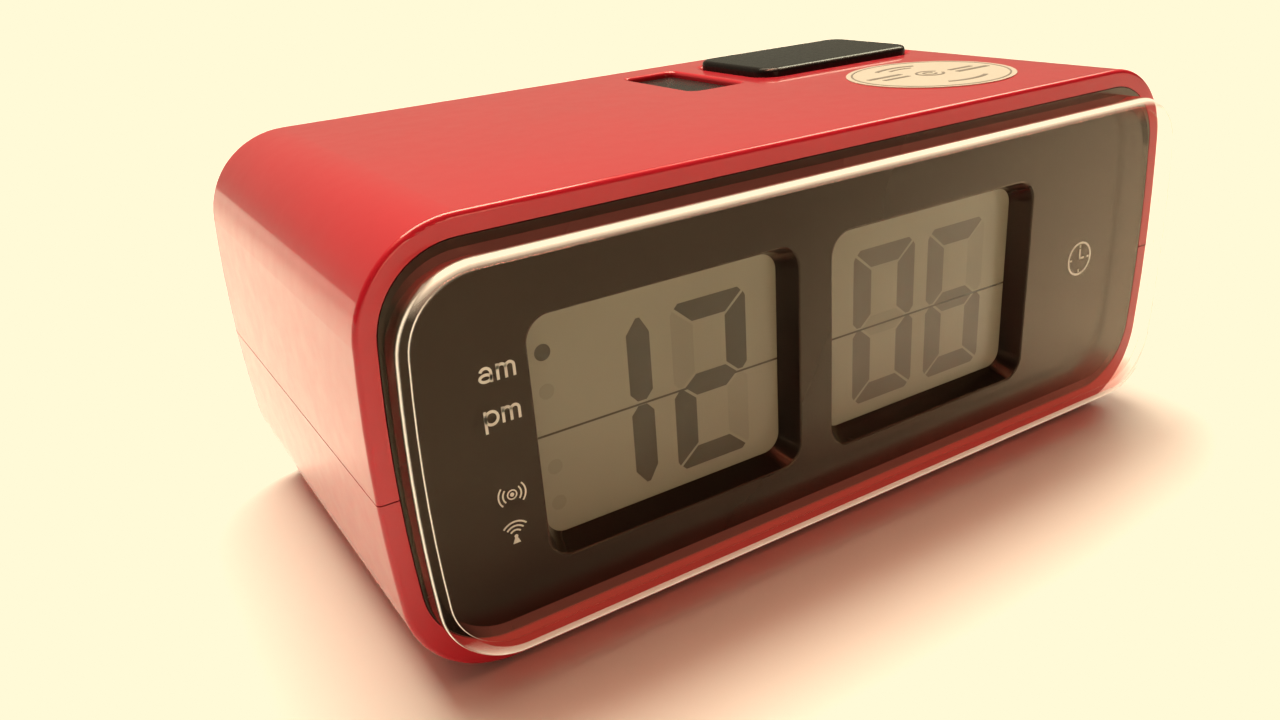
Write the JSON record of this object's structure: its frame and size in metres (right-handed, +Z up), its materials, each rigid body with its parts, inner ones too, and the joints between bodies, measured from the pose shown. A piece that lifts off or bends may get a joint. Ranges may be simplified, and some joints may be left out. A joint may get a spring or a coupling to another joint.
{
  "type": "alarm clock",
  "caption": "Red gloss plastic desk alarm clock with large liquid crystal digits behind a clear box cover, a snooze key on top, and rear keys and battery door.",
  "frame": {"origin": "centre of the bounding box at the level of the feet", "axes": "+X to the right seen from the front, +Y from the front to the rear, +Z up"},
  "size_m": [0.165, 0.0928, 0.0723],
  "materials": {
    "red_plastic": "high gloss",
    "black_key_plastic": "high gloss",
    "foot_rubber": "matte",
    "zinc_steel": "zinc plated",
    "plate_plastic": "fine matte",
    "clear_plastic": "clear, polished",
    "black_plastic": "moulded",
    "display_glass": "polished",
    "reflector_film": "satin film",
    "guide_acrylic": "clear acrylic",
    "grey_rubber": "matte",
    "diode_resin": "moulded resin",
    "board_laminate": "solder mask",
    "chip_resin": "moulded resin",
    "can_metal": "plain",
    "rear_plastic": "fine grain",
    "rear_key_plastic": "fine grain",
    "brass_disc": "plain",
    "cell_wrapper": "printed wrapper",
    "nickel_plate": "nickel plated",
    "ferrite": "sintered",
    "copper_winding": "enamelled wire",
    "ribbon_plastic": "flat cable",
    "socket_plastic": "moulded",
    "lead_plastic": "insulated wire",
    "label_film": "printed film"
  },
  "bodies": {
    "housing": {"alarm_switch_body": "black_plastic", "antenna_coil": "copper_winding", "antenna_holder": "black_plastic", "antenna_leads": "lead_plastic", "backlight_leds": "diode_resin", "battery_box": "black_plastic", "battery_cells": "cell_wrapper", "battery_leads": "lead_plastic", "board_link": "ribbon_plastic", "capacitors": "can_metal", "case_screws": "zinc_steel", "clear_cover": "clear_plastic", "clock_chip": "chip_resin", "contact_plates": "nickel_plate", "contact_springs": "nickel_plate", "contact_strips": "grey_rubber", "display_board": "board_laminate", "display_board_screws": "zinc_steel", "display_frame": "black_plastic", "display_ribbon": "ribbon_plastic", "down_dome": "grey_rubber", "face_plate": "plate_plastic", "ferrite_rod": "ferrite", "hour_front_glass": "display_glass", "hour_light_guide": "guide_acrylic", "hour_rear_glass": "display_glass", "hour_reflector": "reflector_film", "light_dome": "grey_rubber", "lower_shell": "red_plastic", "main_board": "board_laminate", "main_board_screws": "zinc_steel", "minute_front_glass": "display_glass", "minute_light_guide": "guide_acrylic", "minute_rear_glass": "display_glass", "minute_reflector": "reflector_film", "plate_screws": "zinc_steel", "quartz_crystal": "can_metal", "rear_board": "board_laminate", "rear_board_screws": "zinc_steel", "rear_cover": "rear_plastic", "rear_screws": "zinc_steel", "receiver_chip": "chip_resin", "ribbon_sockets": "socket_plastic", "rubber_feet": "foot_rubber", "set_dome": "grey_rubber", "snooze_domes": "grey_rubber", "sounder_case": "black_plastic", "sounder_disc": "brass_disc", "sounder_leads": "lead_plastic", "top_label": "label_film", "up_dome": "grey_rubber", "upper_shell": "red_plastic"},
    "snooze_key_body": {"snooze_key": "black_key_plastic"},
    "light_key_body": {"light_key": "black_key_plastic"},
    "set_key_body": {"set_key": "rear_key_plastic"},
    "down_key_body": {"down_key": "rear_key_plastic"},
    "up_key_body": {"up_key": "rear_key_plastic"},
    "switch_knob_body": {"alarm_switch_knob": "rear_key_plastic"},
    "door_body": {"battery_door": "rear_plastic"}
  },
  "joints": [
    {"name": "snooze_press", "type": "slide", "parent": "housing", "child": "snooze_key_body", "axis": [0, 0, -1], "range_m": [0, 0.0015], "stiffness_N_per_m": 600, "springref_m": -0.001, "deforming": ["snooze_domes"]},
    {"name": "light_press", "type": "slide", "parent": "housing", "child": "light_key_body", "axis": [0, 0, -1], "range_m": [0, 0.001], "stiffness_N_per_m": 600, "springref_m": -0.001, "deforming": ["light_dome"]},
    {"name": "set_press", "type": "slide", "parent": "housing", "child": "set_key_body", "axis": [0, -1, 0], "range_m": [0, 0.0009], "stiffness_N_per_m": 600, "springref_m": -0.001, "deforming": ["set_dome"]},
    {"name": "down_press", "type": "slide", "parent": "housing", "child": "down_key_body", "axis": [0, -1, 0], "range_m": [0, 0.0009], "stiffness_N_per_m": 600, "springref_m": -0.001, "deforming": ["down_dome"]},
    {"name": "up_press", "type": "slide", "parent": "housing", "child": "up_key_body", "axis": [0, -1, 0], "range_m": [0, 0.0009], "stiffness_N_per_m": 600, "springref_m": -0.001, "deforming": ["up_dome"]},
    {"name": "alarm_slide", "type": "slide", "parent": "housing", "child": "switch_knob_body", "axis": [1, 0, 0], "range_m": [0, 0.004]},
    {"name": "door_swing", "type": "hinge", "parent": "housing", "child": "door_body", "pos_m": [-0.03525, 0.0444, 0.0126], "axis": [-1, 0, 0], "range_deg": [0, 90]}
  ]
}
